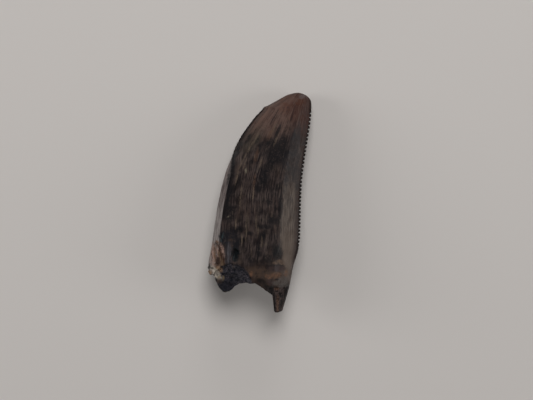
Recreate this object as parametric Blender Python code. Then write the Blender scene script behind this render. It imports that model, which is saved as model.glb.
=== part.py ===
"""Fossil tyrannosaur tooth, lying on its hidden side.

Tables and constants are in millimetres and degrees, and MM turns them into metres.
+Y runs from the broken base to the tip, +X to the serrated rear edge, and +Z out of
the side that faces up. The floor is z = 0, under the middle of the tooth.
"""

import math

import bmesh
import bpy
from mathutils import Vector, noise

MM = 0.001

# Sections from below the break to the tip: front edge x and y, rear edge x and y,
# thickness, and the height of the plane that both edges lie in.
SECTIONS = (
    (-4.60, -16.00, 2.75, -16.00, 6.40, 3.72),
    (-5.90, -13.50, 3.50, -13.50, 7.00, 3.78),
    (-6.75, -11.20, 4.12, -11.20, 7.45, 3.82),
    (-7.08, -8.80, 4.57, -8.80, 7.60, 3.80),
    (-6.80, -6.80, 5.20, -6.80, 7.50, 3.77),
    (-6.50, -5.00, 5.48, -5.00, 7.35, 3.72),
    (-6.15, -2.60, 5.58, -2.60, 7.10, 3.62),
    (-5.70, 0.10, 5.64, 0.10, 6.75, 3.46),
    (-4.95, 3.30, 5.84, 3.30, 6.20, 3.18),
    (-3.95, 6.20, 6.22, 6.20, 5.60, 2.86),
    (-2.70, 8.90, 6.66, 8.90, 4.95, 2.50),
    (-1.15, 11.20, 7.00, 11.20, 4.25, 2.12),
    (0.40, 12.87, 7.09, 12.90, 3.50, 1.77),
    (1.95, 13.85, 7.02, 13.85, 2.75, 1.62),
    (3.45, 14.58, 6.62, 14.42, 1.85, 1.55),
    (4.55, 14.90, 6.00, 14.82, 0.95, 1.52),
    (5.25, 15.00, 5.25, 15.00, 0.00, 1.50),
)
TABLE_STEPS = 24

# Saw edge along the rear of the crown. Its teeth grow a little coarser to the tip.
DENTICLES = 38
FIRST_DENTICLE_Y = -6.9
LAST_DENTICLE_Y = 12.95
DENTICLE_SPREAD = 0.07
DENTICLE_DEPTH = 0.20
KEEL_HEIGHT = 0.28
KEEL_CORE = 0.12
KEEL_FOOT = 0.20
KEEL_END_Y = -9.5
KEEL_FADE = 2.0
KEEL_TIP_FADE = 3.0
KEEL_REACH = 0.9
BASE_FADE_HALVES = 8
TIP_FADE_HALVES = 4

# Cross-section: v runs from -1 at the front edge to 1 at the rear edge.
FRONT_POWER = 3.0
REAR_POWER = 2.4
FACET_START = math.cos(math.radians(54))
FACET_HOLLOW = 0.045
EDGE_THICKNESS = 0.30
FACET_LOW_Y = -11.0
FACET_HIGH_Y = 11.5
FACET_FADE = 3.0
UNDER_POWER = 3.2
UNDER_BULGE = 1.04
UNDER_HOLLOW = 0.09
UNDER_HOLLOW_WIDTH = 0.25

# Front carina: a low ridge that leaves the outline and runs down the upper side.
RIDGE_HEIGHT = 0.17
RIDGE_HALF_WIDTH = 3.5
RIDGE_ANGLE_HIGH = 180.0
RIDGE_ANGLE_LOW = 145.5
RIDGE_HIGH_Y = 8.5
RIDGE_LOW_Y = 3.4
RIDGE_TOP_Y = 12.9
RIDGE_BASE_Y = -5.5
RIDGE_TOP_FADE = 0.6
RIDGE_BASE_FADE = 2.0
RIDGE_SAW_Y = 6.0
RIDGE_SAW_DEPTH = 0.4

# Angles of the lengthwise lines of the mesh, from the rear edge up over the top to
# the front edge, and back underneath. They crowd together at both edges.
UPPER_ANGLES = (0, 1.5, 3.2, 6.5, 12, 20, 31, 42, 54, 64, 75, 86, 97, 108, 119, 129, 137, 142)
FRONT_ANGLES = (145.5, 149, 156, 164, 172, 180)
LOWER_ANGLES = (190, 201, 213, 225, 237, 249, 261, 273, 285, 297, 309, 321, 332, 341, 348, 353.5, 356.8, 358.5)
RIDGE_COLUMN_ANGLE = 145.5
STILL_ABOVE = 97.0
STILL_BELOW = 273.0

# Crosswise lines below and above the saw edge, as distances along the rear edge.
BASE_ROWS = 13
TIP_ROWS = 6

# Low worn hollow over the broken front corner of the base.
CHIP_CENTRE = (-3.9, -11.4)
CHIP_RADII = (2.9, 3.25)
CHIP_STEP = 0.3
CHIP_STEP_WIDTH = 0.06
CHIP_DEPTH = 1.2

# Broken end as seen from above, from the front edge to the spur and the rear edge.
BREAK_LINE = (
    (-9.00, -9.00), (-7.10, -9.40), (-6.80, -9.90), (-6.45, -9.80), (-6.10, -10.10),
    (-5.85, -10.60), (-5.60, -11.30), (-5.20, -12.00), (-4.70, -12.36), (-4.20, -12.20),
    (-3.80, -11.80), (-3.20, -11.35), (-2.75, -11.05), (-0.90, -10.90), (-0.40, -11.10),
    (0.50, -11.60), (1.20, -12.15), (1.65, -12.65), (1.84, -12.75), (1.95, -14.30),
    (2.10, -14.85), (2.40, -14.95), (3.10, -14.90), (3.40, -14.45), (6.00, -14.00),
)
BACK_LINE = (
    (-9.00, -8.90), (-6.00, -9.20), (-3.50, -10.20), (-0.50, -9.50),
    (1.60, -10.30), (2.60, -10.60), (4.20, -9.90), (6.00, -9.60),
)
WALL_SPLIT = 4.2
SPUR_UNDERSIDE = 3.0
SPUR_START_X = 1.5
SPUR_START_WIDTH = 0.5
SPLIT_SOFTNESS = 0.55
BREAK_ROUGHNESS = 0.14
BREAK_GRAIN = 0.9
BREAK_LOWEST = -1.5
BREAK_HIGHEST = 9.5
BREAK_LAYERS = 15
BELOW_EVERYTHING = -18.0

# Pulp cavity: a flattened cone, open at the break.
CAVITY_TOP_Y = -3.4
CAVITY_MOUTH_Y = -11.0
CAVITY_END_Y = -17.0
CAVITY_HALF_WIDTH = 2.85
CAVITY_HALF_HEIGHT = 1.65
CAVITY_CENTRE_X = -1.25
CAVITY_TILT = 0.03
CAVITY_TAPER = 0.75
CAVITY_WIDEST = 1.3
CAVITY_HEIGHT_AT_MOUTH = 3.8
CAVITY_SIDES = 20
CAVITY_RINGS = 11
CAVITY_RIPPLE = 0.12

# Scars cut into the upper side: centre, half sizes, and the lean about the Y axis.
SPALL_CENTRE = (-6.20, -7.50, 6.20)
SPALL_RADII = (1.50, 2.30, 0.62)
SPALL_LEAN = -48.0
PIT_CENTRE = (-3.33, -7.26, 7.45)
PIT_RADII = (0.50, 1.00, 0.50)
SCAR_SIDES = 16
SCAR_RINGS = 10

DARK_ENAMEL = (0.030, 0.022, 0.018, 1.0)
ENAMEL_ROUGHNESS = 0.38
SHARP_ANGLE = 50.0


def smooth(low, high, value):
    """0 at low, 1 at high, with a soft start and end."""
    share = min(max((value - low) / (high - low), 0.0), 1.0)
    return share * share * (3 - 2 * share)


def mix(first, second, share):
    return first + (second - first) * share


def line_value(points, x):
    """Height of a broken line at x."""
    for (x0, y0), (x1, y1) in zip(points, points[1:]):
        if x <= x1:
            return mix(y0, y1, max(x - x0, 0.0) / (x1 - x0))
    return points[-1][1]


def section_at(row):
    """Sections blended by a smooth curve through all of them, with row counted in sections."""
    last = len(SECTIONS) - 1
    index = min(int(row), last - 1)
    share = row - index
    around = [SECTIONS[min(max(index + step, 0), last)] for step in (-1, 0, 1, 2)]
    values = []
    for before, start, end, after in zip(*around):
        bend = 2 * before - 5 * start + 4 * end - after
        twist = 3 * start - before - 3 * end + after
        values.append(start + 0.5 * share * (end - before + share * (bend + share * twist)))
    return values


def edge_table():
    """Rows of the section table against the distance along the rear edge and its y."""
    table = []
    distance = 0.0
    previous = None
    for step in range((len(SECTIONS) - 1) * TABLE_STEPS + 1):
        row = step / TABLE_STEPS
        values = section_at(row)
        here = Vector(values[2:4])
        if previous is not None:
            distance += (here - previous).length
        previous = here
        table.append((distance, row, here.y))
    return table


EDGE = edge_table()
TOTAL_LENGTH = EDGE[-1][0]


def row_at(distance):
    return line_value([(entry[0], entry[1]) for entry in EDGE], distance)


def distance_at_y(y):
    return line_value([(entry[2], entry[0]) for entry in EDGE[: -2 * TABLE_STEPS]], y)


def crosswise_rows():
    """Distances along the rear edge, each with 1 where a slot of the saw edge lies, else 0."""
    start = distance_at_y(FIRST_DENTICLE_Y)
    end = distance_at_y(LAST_DENTICLE_Y)
    rows = [(start * index / BASE_ROWS, 0.0) for index in range(BASE_ROWS)]
    for half in range(2 * DENTICLES + 1):
        share = half / (2 * DENTICLES)
        share += DENTICLE_SPREAD * (share * share - share)
        fade = smooth(0, BASE_FADE_HALVES, half) * smooth(0, TIP_FADE_HALVES, 2 * DENTICLES - half)
        rows.append((mix(start, end, share), fade * (half % 2)))
    for index in range(1, TIP_ROWS):
        rows.append((mix(end, TOTAL_LENGTH, index / TIP_ROWS), 0.0))
    return rows


def ridge_angle(y):
    return mix(RIDGE_ANGLE_LOW, RIDGE_ANGLE_HIGH, smooth(RIDGE_LOW_Y, RIDGE_HIGH_Y, y))


def followed_angle(angle, y):
    """Slides the lengthwise lines so that one of them stays on the front carina."""
    target = ridge_angle(y)
    if STILL_ABOVE < angle <= RIDGE_COLUMN_ANGLE:
        return mix(STILL_ABOVE, target, (angle - STILL_ABOVE) / (RIDGE_COLUMN_ANGLE - STILL_ABOVE))
    if RIDGE_COLUMN_ANGLE < angle < STILL_BELOW:
        return mix(target, STILL_BELOW, (angle - RIDGE_COLUMN_ANGLE) / (STILL_BELOW - RIDGE_COLUMN_ANGLE))
    return angle


def upper_height(v, half_thickness, facet):
    """Height of the upper side over the middle plane, as a share of half the thickness."""
    power = REAR_POWER if v > 0 else FRONT_POWER
    dome = math.sqrt(max(1 - abs(v) ** power, 0.0))
    if v <= FACET_START:
        return dome
    across = (1 - v) / (1 - FACET_START)
    edge = 0.5 * EDGE_THICKNESS / half_thickness
    start = math.sqrt(1 - FACET_START ** REAR_POWER)
    plane = mix(edge, start, across) - FACET_HOLLOW * math.sin(math.pi * across)
    return mix(dome, min(dome, plane), facet)


def lower_height(v, half_thickness, facet):
    """Depth of the hidden side under the middle plane. Two swellings run along it."""
    dome = math.sqrt(max(1 - abs(v) ** UNDER_POWER, 0.0))
    hollow = UNDER_HOLLOW * math.exp(-((v / UNDER_HOLLOW_WIDTH) ** 2))
    dome *= UNDER_BULGE * (1 - hollow)
    if v <= FACET_START:
        return dome
    across = (1 - v) / (1 - FACET_START)
    edge = 0.5 * EDGE_THICKNESS / half_thickness
    plane = mix(edge, UNDER_BULGE * math.sqrt(1 - FACET_START ** UNDER_POWER), across)
    return mix(dome, min(dome, plane), facet)


def chip_drop(x, y):
    """How far the broken front corner of the base is worn down."""
    across = (x - CHIP_CENTRE[0]) / CHIP_RADII[0]
    along = (y - CHIP_CENTRE[1]) / CHIP_RADII[1]
    inside = 1 - math.hypot(across, along)
    return CHIP_STEP * smooth(0.0, CHIP_STEP_WIDTH, inside) + CHIP_DEPTH * max(inside, 0.0)


def outside_point(distance, angle, slot):
    """A point of the whole tooth's outside, before anything is broken off."""
    front_x, front_y, rear_x, rear_y, thickness, middle = section_at(row_at(distance))
    front = Vector((front_x, front_y))
    chord = Vector((rear_x, rear_y)) - front
    ridge = RIDGE_HEIGHT * smooth(RIDGE_TOP_Y, RIDGE_TOP_Y - RIDGE_TOP_FADE, front_y)
    ridge *= smooth(RIDGE_BASE_Y, RIDGE_BASE_Y + RIDGE_BASE_FADE, front_y)
    if chord.length:
        inset = chord.normalized() * ridge * smooth(RIDGE_LOW_Y, RIDGE_HIGH_Y, front_y)
        front += inset
        chord -= inset
    half_thickness = max(0.5 * thickness, 1e-4)
    angle = followed_angle(angle, front_y)
    keel = KEEL_HEIGHT * smooth(KEEL_END_Y, KEEL_END_Y + KEEL_FADE, rear_y)
    keel *= smooth(TOTAL_LENGTH, TOTAL_LENGTH - KEEL_TIP_FADE, distance)
    half = 0.5 * (chord.length - keel)
    v = math.cos(math.radians(angle))
    facet = smooth(FACET_LOW_Y, FACET_LOW_Y + FACET_FADE, rear_y)
    facet *= smooth(FACET_HIGH_Y + FACET_FADE, FACET_HIGH_Y, rear_y)
    if angle <= 180:
        height = half_thickness * upper_height(v, half_thickness, facet)
    else:
        height = -half_thickness * lower_height(v, half_thickness, facet)
    along_chord = half * (1 + v)
    if v > KEEL_REACH:
        keel_share = 1 - smooth(KEEL_CORE, KEEL_FOOT, abs(height))
        along_chord += (keel - DENTICLE_DEPTH * slot) * keel_share
    near_ridge = 1 - min(abs(angle - ridge_angle(front_y)) / RIDGE_HALF_WIDTH, 1.0)
    if near_ridge > 0:
        ridge *= near_ridge
        ridge *= 1 - RIDGE_SAW_DEPTH * slot * smooth(RIDGE_SAW_Y - 1, RIDGE_SAW_Y, front_y)
        outward = Vector((v / half, height / half_thickness ** 2)).normalized()
        along_chord += ridge * outward.x
        height += ridge * outward.y
    place = front + chord.normalized() * along_chord if chord.length else front
    if angle < 180:
        height -= chip_drop(place.x, place.y)
    return Vector((place.x, place.y, max(middle + height, 0.0)))


def new_mesh_object(name, bm, collection):
    """Scales a mesh modelled in millimetres to metres and puts it in a collection."""
    bmesh.ops.recalc_face_normals(bm, faces=bm.faces)
    for vertex in bm.verts:
        vertex.co *= MM
    mesh = bpy.data.meshes.new(name)
    bm.to_mesh(mesh)
    bm.free()
    made = bpy.data.objects.new(name, mesh)
    collection.objects.link(made)
    return made


def shaped_ball(sides, rings, place):
    """A ball whose vertices go to place(ring, side), with ring 0 and ring `rings` at its poles."""
    bm = bmesh.new()
    bmesh.ops.create_uvsphere(bm, u_segments=sides, v_segments=rings, radius=1.0)
    for vertex in bm.verts:
        polar = math.acos(min(max(vertex.co.z, -1.0), 1.0))
        ring = round(polar * rings / math.pi)
        side = round(math.atan2(vertex.co.y, vertex.co.x) * sides / (2 * math.pi)) % sides
        vertex.co = place(ring, side)
    return bm


def make_tooth(collection):
    angles = UPPER_ANGLES + FRONT_ANGLES + LOWER_ANGLES
    rows = crosswise_rows()
    rings = len(rows)

    def place(ring, side):
        if ring == rings:
            end = SECTIONS[-1]
            return Vector((end[0], end[1], end[5]))
        distance, slot = rows[ring]
        if ring == 0:
            front_x, front_y, rear_x, _, _, middle = SECTIONS[0]
            return Vector((0.5 * (front_x + rear_x), front_y, middle))
        return outside_point(distance, angles[side], slot)

    tooth = new_mesh_object("tooth", shaped_ball(len(angles), rings, place), collection)
    tooth.data.shade_smooth()
    tooth.data.set_sharp_from_angle(angle=math.radians(SHARP_ANGLE))
    return tooth


def break_depth(x, z):
    """Y of the broken surface at x across the tooth and z through it."""
    front_wall = line_value(BREAK_LINE, x)
    hidden_wall = line_value(BACK_LINE, x)
    split = mix(WALL_SPLIT, SPUR_UNDERSIDE, smooth(SPUR_START_X, SPUR_START_X + SPUR_START_WIDTH, x))
    share = smooth(split - SPLIT_SOFTNESS, split + SPLIT_SOFTNESS, z)
    rough = BREAK_ROUGHNESS * noise.noise(Vector((x, 7.0, z)) * BREAK_GRAIN)
    return mix(hidden_wall, front_wall, share) + rough


def make_base_break(collection):
    """Everything below the rough broken surface."""
    columns = len(BREAK_LINE)
    bm = bmesh.new()
    bmesh.ops.create_grid(bm, x_segments=columns - 1, y_segments=BREAK_LAYERS - 1, size=1.0)
    for vertex in bm.verts:
        column = round((vertex.co.x + 1) * 0.5 * (columns - 1))
        layer = (vertex.co.y + 1) * 0.5
        x = BREAK_LINE[column][0]
        z = mix(BREAK_LOWEST, BREAK_HIGHEST, layer)
        vertex.co = Vector((x, break_depth(x, z), z))
    below = bmesh.ops.extrude_face_region(bm, geom=bm.faces[:])
    for item in below["geom"]:
        if isinstance(item, bmesh.types.BMVert):
            item.co.y = BELOW_EVERYTHING
    return new_mesh_object("base_break", bm, collection)


def make_pulp_cavity(collection):
    def place(ring, side):
        y = mix(CAVITY_TOP_Y, CAVITY_END_Y, ring / CAVITY_RINGS)
        open_share = (CAVITY_TOP_Y - y) / (CAVITY_TOP_Y - CAVITY_MOUTH_Y)
        radius = 0.0 if ring in (0, CAVITY_RINGS) else min(open_share, CAVITY_WIDEST) ** CAVITY_TAPER
        angle = 2 * math.pi * side / CAVITY_SIDES
        ripple = 1 + CAVITY_RIPPLE * noise.noise(Vector((math.cos(angle), 0.3 * y, math.sin(angle))))
        middle = CAVITY_HEIGHT_AT_MOUTH + CAVITY_TILT * (CAVITY_MOUTH_Y - y)
        x = CAVITY_CENTRE_X + CAVITY_HALF_WIDTH * radius * ripple * math.cos(angle)
        z = middle + CAVITY_HALF_HEIGHT * radius * ripple * math.sin(angle)
        return Vector((x, y, z))

    return new_mesh_object("pulp_cavity", shaped_ball(CAVITY_SIDES, CAVITY_RINGS, place), collection)


def make_scar(name, centre, radii, lean, collection):
    """A flattened ball that scoops a shell-shaped scar."""
    bm = bmesh.new()
    bmesh.ops.create_uvsphere(bm, u_segments=SCAR_SIDES, v_segments=SCAR_RINGS, radius=1.0)
    bmesh.ops.scale(bm, vec=radii, verts=bm.verts)
    scar = new_mesh_object(name, bm, collection)
    scar.location = Vector(centre) * MM
    scar.rotation_euler = (0.0, math.radians(lean), 0.0)
    return scar


def cut(target, cutter):
    """Takes the cutter's volume off the target and keeps the cutter out of view."""
    cutter.hide_render = True
    cutter.display_type = "WIRE"
    difference = target.modifiers.new("cut " + cutter.name, "BOOLEAN")
    difference.operation = "DIFFERENCE"
    difference.solver = "EXACT"
    difference.object = cutter


def make_enamel():
    material = bpy.data.materials.new("dark fossil enamel")
    material.use_nodes = True
    shader = material.node_tree.nodes["Principled BSDF"]
    shader.inputs["Base Color"].default_value = DARK_ENAMEL
    shader.inputs["Roughness"].default_value = ENAMEL_ROUGHNESS
    shader.inputs["Metallic"].default_value = 0.0
    material.diffuse_color = DARK_ENAMEL
    return material


def new_collection(name):
    collection = bpy.data.collections.new(name)
    bpy.context.scene.collection.children.link(collection)
    return collection


def main():
    for existing in list(bpy.data.objects):
        bpy.data.objects.remove(existing, do_unlink=True)
    bpy.context.scene.unit_settings.system = "METRIC"
    parts = new_collection("fossil tooth")
    cutters = new_collection("cutters")
    tooth = make_tooth(parts)
    tooth.data.materials.append(make_enamel())
    cut(tooth, make_scar("spall_scar", SPALL_CENTRE, SPALL_RADII, SPALL_LEAN, cutters))
    cut(tooth, make_scar("pit", PIT_CENTRE, PIT_RADII, 0.0, cutters))
    cut(tooth, make_pulp_cavity(cutters))
    cut(tooth, make_base_break(cutters))


main()
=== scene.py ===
"""Looks of the fossil tyrannosaur tooth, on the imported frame.

Tables and constants are in millimetres and degrees unless they say otherwise, and MM turns
millimetres into metres.
"""

import math

import bpy
import numpy as np
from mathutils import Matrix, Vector, noise


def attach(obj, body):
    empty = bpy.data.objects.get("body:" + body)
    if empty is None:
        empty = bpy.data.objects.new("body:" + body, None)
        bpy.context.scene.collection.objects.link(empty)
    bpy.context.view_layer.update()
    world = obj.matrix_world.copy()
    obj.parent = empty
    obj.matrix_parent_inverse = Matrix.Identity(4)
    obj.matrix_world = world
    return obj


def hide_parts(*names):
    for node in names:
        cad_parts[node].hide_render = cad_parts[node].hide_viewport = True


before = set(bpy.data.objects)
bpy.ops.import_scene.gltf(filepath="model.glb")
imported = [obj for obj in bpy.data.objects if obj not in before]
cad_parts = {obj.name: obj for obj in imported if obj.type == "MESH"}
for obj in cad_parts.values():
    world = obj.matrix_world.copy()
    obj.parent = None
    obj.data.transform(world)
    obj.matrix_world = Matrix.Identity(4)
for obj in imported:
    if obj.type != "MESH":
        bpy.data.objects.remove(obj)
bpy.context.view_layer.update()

MM = 0.001

# Sections from below the break to the tip: front edge x and y, rear edge x and y,
# thickness, and the height of the plane that both edges lie in.
SECTIONS = np.array((
    (-4.60, -16.00, 2.75, -16.00, 6.40, 3.72),
    (-5.90, -13.50, 3.50, -13.50, 7.00, 3.78),
    (-6.75, -11.20, 4.12, -11.20, 7.45, 3.82),
    (-7.08, -8.80, 4.57, -8.80, 7.60, 3.80),
    (-6.80, -6.80, 5.20, -6.80, 7.50, 3.77),
    (-6.50, -5.00, 5.48, -5.00, 7.35, 3.72),
    (-6.15, -2.60, 5.58, -2.60, 7.10, 3.62),
    (-5.70, 0.10, 5.64, 0.10, 6.75, 3.46),
    (-4.95, 3.30, 5.84, 3.30, 6.20, 3.18),
    (-3.95, 6.20, 6.22, 6.20, 5.60, 2.86),
    (-2.70, 8.90, 6.66, 8.90, 4.95, 2.50),
    (-1.15, 11.20, 7.00, 11.20, 4.25, 2.12),
    (0.40, 12.87, 7.09, 12.90, 3.50, 1.77),
    (1.95, 13.85, 7.02, 13.85, 2.75, 1.62),
    (3.45, 14.58, 6.62, 14.42, 1.85, 1.55),
    (4.55, 14.90, 6.00, 14.82, 0.95, 1.52),
    (5.25, 15.00, 5.25, 15.00, 0.00, 1.50),
))
TABLE_STEPS = 24

# Saw edge along the rear of the crown.
DENTICLES = 38
FIRST_DENTICLE_Y = -6.9
LAST_DENTICLE_Y = 12.95
DENTICLE_SPREAD = 0.07
DENTICLE_DEPTH = 0.26
DENTICLE_LINES = 8
SLOT_HALF_WIDTH = 0.27
KEEL_HEIGHT = 0.28
KEEL_START = 0.9
KEEL_CORE = 0.12
KEEL_FOOT = 0.22
KEEL_END_Y = -9.5
KEEL_FADE = 2.0
KEEL_TIP_FADE = 3.0
GROOVE_DEPTH = 0.02
GROOVE_REACH = 0.03
BASE_FADE = 4
TIP_FADE = 2

# Cross-section: v runs from -1 at the front edge to 1 at the rear edge.
FRONT_POWER = 3.0
REAR_POWER = 2.4
FACET_START = math.cos(math.radians(54))
FACET_HOLLOW = 0.045
EDGE_THICKNESS = 0.30
FACET_LOW_Y = -10.0
FACET_HIGH_Y = 11.5
FACET_FADE = 3.0
UNDER_POWER = 3.2
UNDER_BULGE = 1.04
UNDER_HOLLOW = 0.09
UNDER_HOLLOW_WIDTH = 0.25

# Front carina: a low ridge that leaves the outline and runs down the upper side.
RIDGE_HEIGHT = 0.17
RIDGE_HALF_WIDTH = 3.5
RIDGE_ANGLE_HIGH = 180.0
RIDGE_ANGLE_LOW = 145.5
RIDGE_HIGH_Y = 8.5
RIDGE_LOW_Y = 3.4
RIDGE_TOP_Y = 12.9
RIDGE_BASE_Y = -5.5
RIDGE_TOP_FADE = 0.6
RIDGE_BASE_FADE = 2.0
RIDGE_SAW_Y = 3.0
RIDGE_SAW_DEPTH = 0.22
STILL_ABOVE = 97.0
STILL_BELOW = 273.0

# Front edge behind its sections: a step back above the carina's start, and slight trims below.
STEP_BACK = 0.28
STEP_Y = 13.0
STEP_SOFTNESS = 0.25
STEP_END_Y = 15.0
STEP_FADE = 1.0
FRONT_TRIM = 0.07
SHOULDER_TRIM = 0.09
SHOULDER_LOW_Y = 9.0
SHOULDER_FADE = 2.0
SHOULDER_HIGH_Y = 12.6

# Bands of lengthwise lines: first angle, last angle, number of lines.
LINE_BANDS = (
    (0, 4, 6), (4, 20, 10), (20, 54, 20), (54, 136, 54), (136, 155, 18),
    (155, 180, 14), (180, 340, 48), (340, 356, 8), (356, 360, 6),
)
# Bands of crosswise lines below the saw edge: first y, last y, number of lines.
ROOT_BANDS = ((-16.0, -12.9, 10), (-12.9, FIRST_DENTICLE_Y, 66))
TIP_LINES = 24

# Damage on the upper side near the base. A noise is its cells to the millimetre across and along,
# and the layer of it that is read.
DAMAGE_TOP_Y = -4.0
CHIP_TOP_Y = -7.0
CHIP_CENTRE = (-3.9, -11.4)
CHIP_RADII = (2.9, 3.0)
CHIP_STEP = 0.2
CHIP_STEP_WIDTH = 0.06
CHIP_DEPTH = 1.2
CHIP_RAGGED = 0.13
CHIP_RAGGED_NOISE = (1.6, 1.6, 4.0)
CHIP_ROUGHNESS = 0.20
CHIP_ROUGH_NOISE = (2.2, 1.6, 8.0)
CHIP_GRAIN = 0.12
CHIP_GRAIN_NOISE = (5.5, 4.5, 9.0)
CHIP_ROUGH_BORDER = 0.2

# Broken end as seen from above, from the front edge to the spur and the rear edge.
BREAK_LINE = np.array((
    (-9.0, -9.0), (-7.1, -9.4), (-6.8, -9.9), (-6.45, -9.8), (-6.1, -10.1),
    (-5.95, -10.7), (-5.65, -11.3), (-5.3, -11.9), (-5.02, -12.28), (-4.7, -12.26),
    (-4.3, -12.08), (-3.74, -11.8), (-3.3, -11.44), (-2.84, -11.14), (-2.1, -11.02),
    (-0.95, -10.9), (-0.5, -11.04), (0.0, -11.34), (0.55, -11.68), (1.2, -12.15),
    (1.65, -12.65), (1.82, -12.75), (1.86, -14.5), (1.98, -14.9), (2.4, -15.0),
    (2.9, -14.9), (3.14, -14.76), (3.42, -14.3), (6.0, -14.0),
))
BACK_LINE = np.array((
    (-9.0, -8.9), (-6.0, -9.2), (-3.5, -10.2), (-0.5, -9.5),
    (1.6, -10.3), (2.6, -10.6), (4.2, -9.9), (6.0, -9.6),
))
WALL_SPLIT = 4.2
SPUR_UNDERSIDE = 3.0
SPUR_START_X = 1.5
SPUR_START_WIDTH = 0.5
SPLIT_SOFTNESS = 0.55
SPLIT_RAGGED = 0.35
SPLIT_CELLS = 1.1
BREAK_GRAINS = ((0.55, 0.14), (1.3, 0.14), (2.6, 0.09), (7.0, 0.05))
BREAK_SIDE_SHIFT = 0.07
BREAK_SIDE_CELLS = 2.5
BREAK_X = (-8.2, 6.0)
BREAK_Z = (-0.8, 8.6)
BREAK_COLUMNS = 140
BREAK_LAYERS = 72
BELOW_EVERYTHING = -18.0

# Pulp cavity: a flattened cone, open at the break, with slow ripples and fine grain.
CAVITY_TOP_Y = -3.4
CAVITY_MOUTH_Y = -11.0
CAVITY_END_Y = -17.0
CAVITY_HALF_WIDTH = 2.85
CAVITY_HALF_HEIGHT = 1.65
CAVITY_CENTRE_X = -1.25
CAVITY_TILT = 0.03
CAVITY_TAPER = 0.75
CAVITY_WIDEST = 1.3
CAVITY_HEIGHT_AT_MOUTH = 3.8
CAVITY_SIDES = 64
CAVITY_RINGS = 44
CAVITY_RIPPLE = 0.12
CAVITY_RIPPLE_ALONG = 0.3
CAVITY_GRAIN = 0.05
CAVITY_GRAIN_AROUND = 4
CAVITY_GRAIN_ALONG = 1.5

# View of the reference picture: frame size in pixels, the tooth's middle, and its scale.
PICTURE_WIDTH = 533
PICTURE_HEIGHT = 400
MIDDLE_PIXEL = (259.8, 201.7)
PIXELS_PER_MM = 7.3
LENS = 150.0
SENSOR = 36.0
FOCUS_HEIGHT = 2.8

# Stage. Sizes and places are in metres. A lamp is its name, place, size, power in watts, and
# whether it adds highlights.
NEAREST_SEEN = 0.01
FLOOR_SIZE = 4.0
FLOOR_ROUGHNESS = 0.8
LAMPS = (
    ("overhead softbox", (0.03, 0.24, 0.42), 0.30, 1.29, False),
    ("tip softbox", (0.04, 0.42, 0.13), 0.22, 0.35, True),
    ("left softbox", (-0.38, 0.04, 0.15), 0.20, 0.55, False),
    ("right softbox", (0.38, -0.04, 0.15), 0.20, 0.36, True),
)
WORLD_COLOUR = (1.0, 0.98, 0.96, 1.0)
WORLD_STRENGTH = 0.10


def smooth(low, high, value):
    """0 at low, 1 at high, with a soft start and end."""
    share = np.clip((value - low) / (high - low), 0.0, 1.0)
    return share * share * (3 - 2 * share)


def mix(first, second, share):
    return first + (second - first) * share


def section_at(row):
    """Sections blended by a smooth curve through all of them, with row counted in sections."""
    last = len(SECTIONS) - 1
    index = min(int(row), last - 1)
    share = row - index
    places = (min(max(index + step, 0), last) for step in (-1, 0, 1, 2))
    before, start, end, after = (SECTIONS[place] for place in places)
    bend = 2 * before - 5 * start + 4 * end - after
    twist = 3 * start - before - 3 * end + after
    return start + 0.5 * share * (end - before + share * (bend + share * twist))


TABLE_ROWS = np.arange((len(SECTIONS) - 1) * TABLE_STEPS + 1) / TABLE_STEPS
REAR_EDGE = np.array([section_at(row)[2:4] for row in TABLE_ROWS])
REAR_STEPS = np.linalg.norm(np.diff(REAR_EDGE, axis=0), axis=1)
REAR_DISTANCE = np.concatenate(((0.0,), np.cumsum(REAR_STEPS)))
TOTAL_LENGTH = REAR_DISTANCE[-1]
RISING = slice(0, -2 * TABLE_STEPS)


def distance_at_y(y):
    return np.interp(y, REAR_EDGE[RISING, 1], REAR_DISTANCE[RISING])


def crosswise_lines():
    """Distances along the rear edge, each with 0 on a denticle and 1 in a slot between two."""
    lines = []
    for low, high, count in ROOT_BANDS:
        for index in range(count):
            lines.append((distance_at_y(mix(low, high, index / count)), 0.0))
    start = distance_at_y(FIRST_DENTICLE_Y)
    end = distance_at_y(LAST_DENTICLE_Y)
    for index in range(DENTICLES * DENTICLE_LINES):
        count = index / DENTICLE_LINES
        share = count / DENTICLES
        share += DENTICLE_SPREAD * (share * share - share)
        off_middle = abs(count % 1 - 0.5)
        slot = 1 - smooth(0.0, SLOT_HALF_WIDTH, off_middle)
        slot *= smooth(0, BASE_FADE, count) * smooth(0, TIP_FADE, DENTICLES - count)
        lines.append((mix(start, end, share), slot))
    for index in range(TIP_LINES):
        lines.append((mix(end, TOTAL_LENGTH, index / TIP_LINES), 0.0))
    return lines


def lengthwise_angles():
    bands = [np.linspace(low, high, count, endpoint=False) for low, high, count in LINE_BANDS]
    return np.concatenate(bands)


def ridge_angle(y):
    return mix(RIDGE_ANGLE_LOW, RIDGE_ANGLE_HIGH, smooth(RIDGE_LOW_Y, RIDGE_HIGH_Y, y))


def followed_angles(angles, y):
    """Slides the lengthwise lines so that one of them stays on the front carina."""
    known = (0, STILL_ABOVE, RIDGE_ANGLE_LOW, STILL_BELOW, 360)
    return np.interp(angles, known, (0, STILL_ABOVE, ridge_angle(y), STILL_BELOW, 360))


def faceted(dome, v, start, half_thickness, hollow, facet):
    """Flattens a dome beside the rear edge."""
    across = (1 - v) / (1 - FACET_START)
    plane = mix(0.5 * EDGE_THICKNESS / half_thickness, start, across)
    plane -= hollow * np.sin(np.pi * np.clip(across, 0, 1))
    return np.where(v > FACET_START, mix(dome, np.minimum(dome, plane), facet), dome)


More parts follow.
